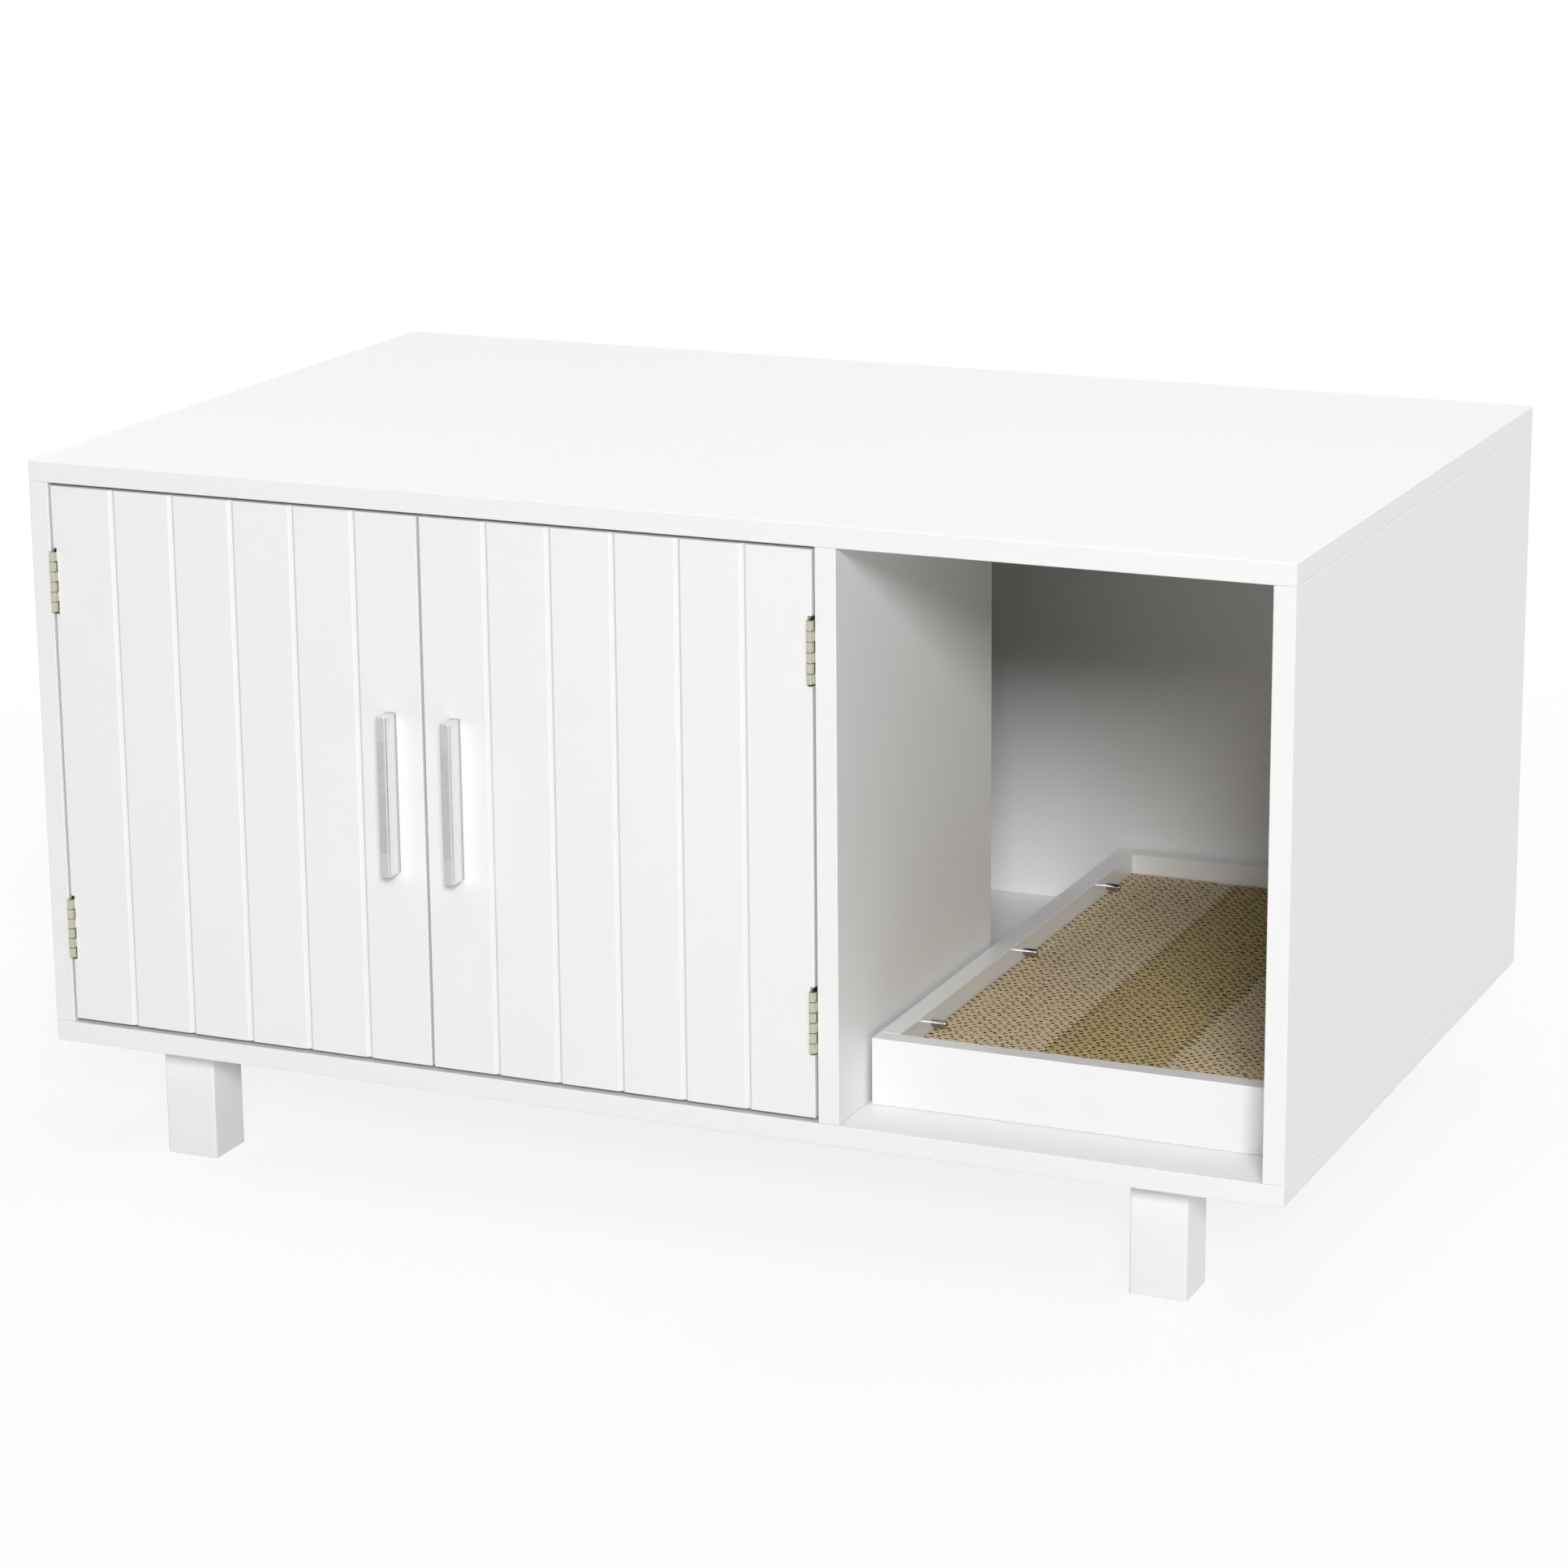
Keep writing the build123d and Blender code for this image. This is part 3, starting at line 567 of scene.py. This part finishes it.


# Handles: the front face is ground, the sides are smooth and painted paler as a painted reflection, with
# painted shade on the rounded edge and a painted contact shadow where they meet the door
handleFinishes = {
    "handle_bar_brushed": {
        "front": colour(0.58, 0.585, 0.56), "frontRoughness": 0.42, "frontTone": 0.22,
        "depth": 0.03 * mm, "edgeDark": 0.50,
    },
    "handle_bracket_satin": {
        "front": colour(0.60, 0.605, 0.58), "frontRoughness": 0.34, "frontTone": 0.05,
        "depth": 0.004 * mm, "edgeDark": 0.42,
    },
}
handleLook = {
    "frontGrain": {"Stretch": (1.0, 1.0, 0.6), "Scale": 1500.0, "Roughness_Spread": 0.2},
    "sideGrain": {
        # The sides' pale colour is partly a painted reflection of the bright surroundings, on top of their
        # smooth finish
        "Stretch": (1.0, 1.0, 0.1), "Scale": 900.0, "Roughness": 0.28, "Roughness_Spread": 0.08,
        "Tone_Spread": 0.05, "Colour": colour(0.82, 0.825, 0.82),
    },
    "frontFacing": (-0.80, -0.95),        # forward part of the face's direction, on the front face
    "roundStarts": (-0.82, -0.62),        # and on the rounded edge
    "roundEnds": (-0.40, -0.12),
    "grainRange": (0.3, 0.7),
    "edgeShare": 0.5,
    "shade": colour(0.05, 0.05, 0.05),
    "seatDark": 0.5,
    "seatReach": (5.0 * mm, 0.5 * mm),    # distances in front of the door
}


def shadeHandle(tree, forward, grainHeight, edgeDark):
    # Painted shade on the rounded edge, and a painted contact shadow where the handle meets the door
    starts = spreadNode(tree, forward, handleLook["roundStarts"])
    ends = spreadNode(tree, forward, handleLook["roundEnds"], (1.0, 0.0))
    onRound = mathNode(tree, "MULTIPLY", starts, ends)
    sparkle = spreadNode(
        tree, grainHeight, handleLook["grainRange"], (handleLook["edgeShare"] * edgeDark, edgeDark),
    )
    edgeShade = mathNode(tree, "MULTIPLY", onRound, sparkle)
    reach = [doorFace - distance for distance in handleLook["seatReach"]]
    seatShade = spreadNode(tree, axisOf(tree, coordinates(tree), "Y"), reach, (0.0, handleLook["seatDark"]))
    return mathNode(tree, "MAXIMUM", edgeShade, seatShade)


def makeHandleMetal(slot):
    values = handleFinishes[slot]
    finish, tree, shader = newFinish(slot)
    front = placeGroup(
        tree, brushGrain, Colour=values["front"], Roughness=values["frontRoughness"],
        Tone_Spread=values["frontTone"], **handleLook["frontGrain"],
    )
    side = placeGroup(tree, brushGrain, **handleLook["sideGrain"])
    # Front and sides mixed by facing direction: ground front, and sides painted paler as a painted reflection
    forward = axisOf(tree, coordinates(tree, "Normal"), "Y")
    onFront = spreadNode(tree, forward, handleLook["frontFacing"])
    metal = mixColour(tree, onFront, side.outputs["Colour"], front.outputs["Colour"])
    shade = shadeHandle(tree, forward, front.outputs["Height"], values["edgeDark"])
    tree.links.new(mixColour(tree, shade, metal, handleLook["shade"]), shader.inputs["Base Color"])
    extra = mathNode(tree, "SUBTRACT", front.outputs["Roughness"], side.outputs["Roughness"])
    rough = mathNode(tree, "MULTIPLY_ADD", extra, onFront, side.outputs["Roughness"])
    tree.links.new(rough, shader.inputs["Roughness"])
    setInputs(shader, Metallic=1.0)
    bumpFrom(tree, mathNode(tree, "MULTIPLY", front.outputs["Height"], onFront), shader, values["depth"])
    return finish


finishes = {slot: makeLacquer(slot) for slot in lacquerFinishes}
finishes.update({slot: makeHandleMetal(slot) for slot in handleFinishes})
finishes.update({slot: makeMetal(slot) for slot in metalFinishes})
finishes.update({slot: makeFibre(slot) for slot in fibreFinishes})
finishes.update({name: makeRawBoard(name) for name in rawBoards})


def dressCabinetNodes():
    for name, node in cabinetNodes.items():
        node.data.materials.clear()
        node.data.materials.append(finishes[slotOfNode[name]])


dressCabinetNodes()
print("finishes on every node:", len(finishes), "materials")


def addPiece(name, points, faces, finish):
    mesh = bpy.data.meshes.new(name)
    mesh.from_pydata(points, [], faces)
    mesh.validate()
    mesh.materials.append(finish)
    piece = bpy.data.objects.new(name, mesh)
    bpy.context.scene.collection.objects.link(piece)
    return piece


# Corrugated strips of the scratching tray: sheets stand on edge, liner, wave, liner
scratchStrips = {
    "nodes": ("scratch_pad_1", "scratch_pad_2", "scratch_pad_3"),
    "boards": ("paleBoard", "shadedBoard", "paleBoard"),
    "lips": (3.2 * mm, 3.0 * mm, 3.2 * mm),     # width of the cut edge
    "lipRagged": 0.34,                          # share by which that width wanders
    "lipDepth": 0.9 * mm,
    "lipShoulder": 0.15,                        # share of the depth at the lip's outer edge
    "lipFlat": 0.5,                             # share of the width that is flat
    "sheets": 13,
    "paper": 0.42 * mm,
    "doubleWall": 1.7,                          # two glued liners, in thicknesses of paper
    "linerLip": 0.62,                           # a glued liner's lip, as a share of the wave's
    "linerStep": 9.0 * mm,
    "linerWander": 0.25 * mm,
    "flutePitch": 8.85 * mm,
    "pitchSpread": (0.985, 1.015),
    "phaseWander": 0.9,
    "waveSquare": 1.3,
    "stepsPerFlute": 8,
    "cutUneven": 0.45 * mm,
    "cutRough": (0.15, 0.60),                   # shares of that unevenness from point to point
    "seed": 20,
}
wanderLook = {"waves": 5, "strength": (0.3, 1.0), "rate": (8.0, 45.0), "phase": (0.0, 6.28)}


def wander(draw, along, size):
    # A slow wander along the strip
    value = np.zeros_like(along)
    for _ in range(wanderLook["waves"]):
        strength = draw.uniform(*wanderLook["strength"])
        rate = draw.uniform(*wanderLook["rate"])
        phase = draw.uniform(*wanderLook["phase"])
        value += strength * np.sin(along * rate + phase)
    return value * size / wanderLook["waves"]


def cutTops(draw, along, top):
    least, most = scratchStrips["cutRough"]
    rough = np.array([draw.random() for _ in along])
    tops = top - scratchStrips["cutUneven"] * (least + (most - least) * rough)
    return tops - np.abs(wander(draw, along, scratchStrips["cutUneven"]))


def raggedLip(draw, along, halfWall, halfCut):
    stray = np.array([draw.uniform(-1.0, 1.0) for _ in along])
    return np.maximum(halfWall, halfCut * (1.0 + scratchStrips["lipRagged"] * stray))


def ribbon(centres, normals, tops, floor, halfWall, lipLeft, lipRight):
    # A closed strip along Y: a thin wall with a wider, ragged cut lip on top
    depth = scratchStrips["lipDepth"]
    shoulder = scratchStrips["lipShoulder"] * depth
    flat = scratchStrips["lipFlat"]
    profile = [
        (-halfWall, None), (-halfWall, depth), (-lipLeft, shoulder), (-flat * lipLeft, 0.0),
        (flat * lipRight, 0.0), (lipRight, shoulder), (halfWall, depth), (halfWall, None),
    ]
    count = len(centres)
    rings = len(profile)
    points = np.zeros((count, rings, 3))
    for index, (offset, drop) in enumerate(profile):
        points[:, index, :2] = centres + normals * np.reshape(offset, (-1, 1))
        points[:, index, 2] = floor if drop is None else tops - drop
    faces = []
    for step in range(count - 1):
        near = step * rings
        far = near + rings
        for index in range(rings):
            after = (index + 1) % rings
            faces.append((near + index, far + index, far + after, near + after))
    faces.append(tuple(range(rings)))
    faces.append(tuple(range(count * rings - 1, (count - 1) * rings - 1, -1)))
    return points.reshape(-1, 3), faces


def linerLines(low, high, draw, halfPaper, halfLip):
    # Liners, doubled where two sheets meet
    values = scratchStrips
    sheet = (high.x - low.x) / values["sheets"]
    steps = int((high.y - low.y) / values["linerStep"]) + 1
    along = np.linspace(low.y, high.y, steps)
    for line in range(values["sheets"] + 1):
        double = 0 < line < values["sheets"]
        halfWall = halfPaper * (values["doubleWall"] if double else 1.0)
        halfCut = max(halfWall, halfLip * values["linerLip"]) if double else halfWall
        x = low.x + line * sheet + wander(draw, along, values["linerWander"])
        x = np.clip(x, low.x + halfCut, high.x - halfCut)
        yield np.column_stack((x, along)), np.tile((1.0, 0.0), (steps, 1)), halfWall, halfCut


def waveLines(low, high, draw, halfPaper, halfLip):
    # Waves between the liners
    values = scratchStrips
    sheet = (high.x - low.x) / values["sheets"]
    flutes = (high.y - low.y) / values["flutePitch"]
    steps = int(flutes * values["stepsPerFlute"]) + 1
    along = np.linspace(low.y, high.y, steps)
    swing = sheet / 2 - halfPaper * values["doubleWall"] - halfPaper
    square = values["waveSquare"]
    for line in range(values["sheets"]):
        pitch = values["flutePitch"] * draw.uniform(*values["pitchSpread"])
        phase = 2 * math.pi * (along - low.y) / pitch + draw.uniform(0.0, 2 * math.pi)
        phase = phase + wander(draw, along, values["phaseWander"])
        wave = np.tanh(square * np.sin(phase)) / math.tanh(square)
        x = low.x + (line + 0.5) * sheet + swing * wave
        slope = np.gradient(x, along)
        length = np.sqrt(1 + slope ** 2)
        normals = np.column_stack((1 / length, -slope / length))
        yield np.column_stack((x, along)), normals, halfPaper, halfLip


def makeScratchStrip(index):
    node = scratchStrips["nodes"][index]
    low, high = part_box(node)
    draw = random.Random(scratchStrips["seed"] + index)
    halfPaper = scratchStrips["paper"] / 2
    halfLip = scratchStrips["lips"][index] / 2
    blocks, faces = [], []
    start = 0
    for makeLines in (linerLines, waveLines):
        for centres, normals, halfWall, halfCut in makeLines(low, high, draw, halfPaper, halfLip):
            along = centres[:, 1]
            tops = cutTops(draw, along, high.z)
            lipLeft = raggedLip(draw, along, halfWall, halfCut)
            lipRight = raggedLip(draw, along, halfWall, halfCut)
            block, quads = ribbon(centres, normals, tops, low.z, halfWall, lipLeft, lipRight)
            faces.extend(tuple(start + corner for corner in quad) for quad in quads)
            blocks.append(block)
            start += len(block)
    points = np.concatenate(blocks)
    points[:, 0] = np.clip(points[:, 0], low.x, high.x)
    points[:, 1] = np.clip(points[:, 1], low.y, high.y)
    finish = finishes[scratchStrips["boards"][index]]
    strip = addPiece("corrugatedStrip%d" % (index + 1), points.tolist(), faces, finish)
    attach(strip, "scratch_tray")
    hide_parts(node)
    return len(faces)


stripFaces = [makeScratchStrip(index) for index in range(len(scratchStrips["nodes"]))]
print("corrugated strips:", stripFaces, "faces")


# Screws with a cross recess, each turned from the outline of its plain solid
crossScrews = {
    "nodes": (
        "frame_hinge_screws", "left_door_hinge_screws", "right_door_hinge_screws", "left_handle_screws",
        "right_handle_screws", "left_strike_screw", "right_strike_screw", "catch_screws",
    ),
    "armLength": 0.29,                          # shares of the head's diameter
    "armHalfWidth": 0.07,
    "recessDepth": 0.20,
    "recessTaper": 0.6,
    "recessPoint": 1.3,                         # share of the recess depth
    "dome": ((0.4, 1.0), (0.12, 0.93), (0.0, 0.78)),    # on a pan head: shares of its height and radius
    "sameRadius": 0.1 * mm,
    "leastRadius": 0.2 * mm,
    "seed": 41,
}


def separateSolids(mesh):
    # Corner points of each separate solid, joined where faces share a corner
    spots = np.zeros(len(mesh.vertices) * 3)
    mesh.vertices.foreach_get("co", spots)
    spots = spots.reshape(-1, 3)
    keys = {}
    same = [keys.setdefault(tuple(row), index) for index, row in enumerate(np.round(spots, 6).tolist())]
    leader = list(range(len(same)))

    def find(index):
        while leader[index] != index:
            leader[index] = leader[leader[index]]
            index = leader[index]
        return index

    for face in mesh.polygons:
        corners = [same[corner] for corner in face.vertices]
        for corner in corners[1:]:
            leader[find(corner)] = find(corners[0])
    groups = {}
    for index in set(same):
        groups.setdefault(find(index), []).append(index)
    solids = [spots[members] for members in groups.values()]
    return sorted(solids, key=lambda solid: solid.mean(0).round(5).tolist())


def screwOutline(points):
    # Axis, centre and the rings (height, radius) from the tip to the head
    low, high = points.min(0), points.max(0)
    size = high - low
    axis = min(range(3), key=lambda index: abs(size[index - 1] - size[index - 2]))
    middle = (low + high) / 2
    first, second = (axis + 1) % 3, (axis + 2) % 3
    reach = np.hypot(points[:, first] - middle[first], points[:, second] - middle[second])
    levels = {}
    for height, radius in zip(points[:, axis].round(5).tolist(), reach.round(5).tolist()):
        levels.setdefault(height, set()).add(radius)
    heights = sorted(levels)
    headUp = max(levels[heights[-1]]) > max(levels[heights[0]])
    if not headUp:
        heights.reverse()
        first, second = second, first
    rings = []
    for height in heights[:-1]:
        radii = sorted(levels[height])
        rings.extend((height, radius) for radius in radii if radius > crossScrews["leastRadius"])
    rings.append((heights[-1], max(levels[heights[-1]])))
    return axis, first, second, middle, rings, 1.0 if headUp else -1.0


def crossReach(angle, arm, half):
    # Distance from the middle to the edge of the cross
    folded = angle % quarterTurn
    folded = min(folded, quarterTurn - folded)
    if folded <= math.atan2(half, arm) + 1e-9:
        return arm / math.cos(folded)
    return half / math.sin(folded)


def turnScrew(points, turn):
    axis, first, second, middle, rings, way = screwOutline(points)
    head, radius = rings[-1]
    below, belowRadius = rings[-2]
    if abs(belowRadius - radius) < crossScrews["sameRadius"]:
        tall = abs(head - below)
        rings[-1:] = [(head - way * drop * tall, share * radius) for drop, share in crossScrews["dome"]]
    wide = 2 * radius
    arm = crossScrews["armLength"] * wide
    half = crossScrews["armHalfWidth"] * wide
    sink = way * crossScrews["recessDepth"] * wide
    corner = math.atan2(half, arm)
    eighth = quarterTurn / 2
    between = (corner + eighth) / 2
    steps = (0.0, corner, between, eighth, quarterTurn - between, quarterTurn - corner)
    angles = [quarter * quarterTurn + step for quarter in range(4) for step in steps]
    cross = [crossReach(angle, arm, half) for angle in angles]
    outlines = [(height, [reach] * len(angles)) for height, reach in rings]
    outlines.append((head, cross))
    outlines.append((head - sink, [reach * crossScrews["recessTaper"] for reach in cross]))

    def spotAt(height, reach, angle):
        spot = [0.0, 0.0, 0.0]
        spot[axis] = height
        spot[first] = middle[first] + reach * math.cos(angle + turn)
        spot[second] = middle[second] + reach * math.sin(angle + turn)
        return spot

    made = [spotAt(height, *at) for height, reaches in outlines for at in zip(reaches, angles)]
    tip, bottom = len(made), len(made) + 1
    made.append(spotAt(rings[0][0], 0.0, 0.0))
    made.append(spotAt(head - sink * crossScrews["recessPoint"], 0.0, 0.0))
    count = len(angles)
    last = (len(outlines) - 1) * count
    faces = []
    for index in range(count):
        after = (index + 1) % count
        for near in range(0, last, count):
            far = near + count
            faces.append((near + index, near + after, far + after, far + index))
        faces.append((after, index, tip))
        faces.append((last + index, last + after, bottom))
    return made, faces


def makeCrossScrews(node):
    draw = random.Random(crossScrews["seed"])
    points, faces = [], []
    for solid in separateSolids(cabinetNodes[node].data):
        made, sides = turnScrew(solid, draw.uniform(0.0, quarterTurn))
        start = len(points)
        points.extend(made)
        faces.extend(tuple(start + corner for corner in side) for side in sides)
    screws = addPiece("cross_" + node, points, faces, finishes[slotOfNode[node]])
    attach(screws, body_of(cabinetNodes[node])[0])
    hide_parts(node)
    return len(faces)


screwFaces = [makeCrossScrews(node) for node in crossScrews["nodes"]]
print("cross screws:", screwFaces, "faces")


# Pale floor that keeps a soft shadow near the object and runs out to white
floorLook = {
    "size": 40.0,
    "colour": colour(0.84, 0.84, 0.84),
    "radii": (0.7, 1.6),
    "whiteShare": (0.84, 1.0),                  # at the near and the far radius
}


def makeFloor():
    finish = bpy.data.materials.new("studioFloor")
    finish.use_nodes = True
    tree = finish.node_tree
    tree.nodes.clear()
    matt = setInputs(addNode(tree, "ShaderNodeBsdfDiffuse"), Color=floorLook["colour"])
    glow = setInputs(addNode(tree, "ShaderNodeEmission"), Color=colour(1, 1, 1), Strength=1.0)
    reach = addNode(tree, "ShaderNodeVectorMath", operation="LENGTH")
    tree.links.new(coordinates(tree), reach.inputs[0])
    white = spreadNode(tree, reach.outputs["Value"], floorLook["radii"], floorLook["whiteShare"])
    mix = addNode(tree, "ShaderNodeMixShader")
    tree.links.new(mathNode(tree, "MULTIPLY", seenRays(tree), white), mix.inputs["Fac"])
    tree.links.new(matt.outputs[0], mix.inputs[1])
    tree.links.new(glow.outputs[0], mix.inputs[2])
    tree.links.new(mix.outputs[0], addNode(tree, "ShaderNodeOutputMaterial").inputs["Surface"])
    half = floorLook["size"] / 2
    corners = [(-half, -half, 0), (half, -half, 0), (half, half, 0), (-half, half, 0)]
    floor = addPiece("studioFloor", corners, [(0, 1, 2, 3)], finish)


makeFloor()


# Studio light: a surround that is seen as white but gives no light, and soft boxes
# A distant one stands to the right front, weaker ones high in front, above, to the right and behind
softBoxes = {
    "keyBox": {"azimuth": 25.5, "elevation": 25.0, "distance": 8.0, "size": (2.0, 1.6), "power": 444.0},
    "highBox": {"azimuth": 12.0, "elevation": 62.0, "distance": 5.0, "size": (3.0, 1.6), "power": 26.0},
    "topBox": {"azimuth": 0.0, "elevation": 89.0, "distance": 4.0, "size": (3.0, 3.0), "power": 84.0},
    "sideBox": {"azimuth": 135.0, "elevation": 22.0, "distance": 6.0, "size": (2.4, 2.4), "power": 104.0},
    "backBox": {"azimuth": 238.0, "elevation": 24.0, "distance": 6.0, "size": (2.6, 2.6), "power": 80.0},
}
lampAim = Vector((0.1, 0.0, 0.25))


def makeWorld():
    world = bpy.data.worlds.new("studioSurround")
    bpy.context.scene.world = world
    world.use_nodes = True
    tree = world.node_tree
    tree.nodes.clear()
    surround = setInputs(addNode(tree, "ShaderNodeBackground"), Color=colour(1, 1, 1))
    tree.links.new(seenRays(tree), surround.inputs["Strength"])
    tree.links.new(surround.outputs[0], addNode(tree, "ShaderNodeOutputWorld").inputs["Surface"])


def makeSoftBox(name):
    values = softBoxes[name]
    data = bpy.data.lights.new(name, "AREA")
    data.shape = "RECTANGLE"
    data.size, data.size_y = values["size"]
    data.energy = values["power"]
    lamp = bpy.data.objects.new(name, data)
    azimuth = math.radians(values["azimuth"])
    elevation = math.radians(values["elevation"])
    level = Vector((math.sin(azimuth), -math.cos(azimuth), 0.0)) * math.cos(elevation)
    towards = level + Vector((0.0, 0.0, math.sin(elevation)))
    lamp.location = lampAim + towards * values["distance"]
    lamp.rotation_mode = "QUATERNION"
    lamp.rotation_quaternion = (-towards).to_track_quat("-Z", "Y")
    bpy.context.scene.collection.objects.link(lamp)


makeWorld()
for boxName in softBoxes:
    makeSoftBox(boxName)
print("floor, surround and", len(softBoxes), "soft boxes placed")
